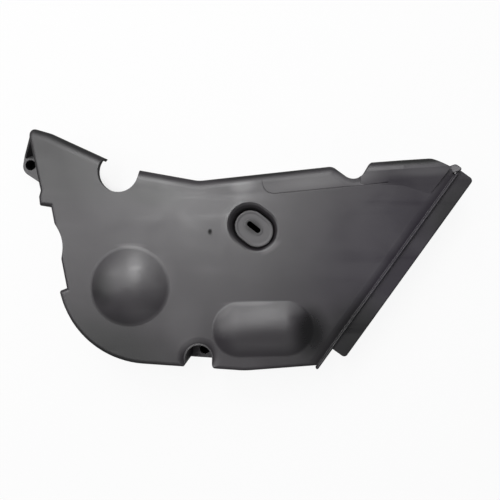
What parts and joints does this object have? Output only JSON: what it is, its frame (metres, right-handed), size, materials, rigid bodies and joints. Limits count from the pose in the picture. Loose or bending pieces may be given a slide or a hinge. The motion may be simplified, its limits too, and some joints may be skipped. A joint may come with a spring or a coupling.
{
  "type": "timing belt cover",
  "caption": "Deep moulded timing belt cover with a rolled top edge, domed bulges, edge notches, rear-plane bolt lugs, a lapped side flange and a slotted rubber grommet.",
  "frame": {"origin": "centre of the lower bolt hole on the plane of the rear rim", "axes": "+X to the right and +Y up the face as it is seen from the front, +Z out of the face"},
  "size_m": [0.3812, 0.1953, 0.058],
  "materials": {
    "cover_plastic": "satin, fine moulded grain",
    "grommet_rubber": "matte"
  },
  "bodies": {
    "root": {"cover": "cover_plastic", "slotted_grommet": "grommet_rubber"}
  },
  "joints": []
}
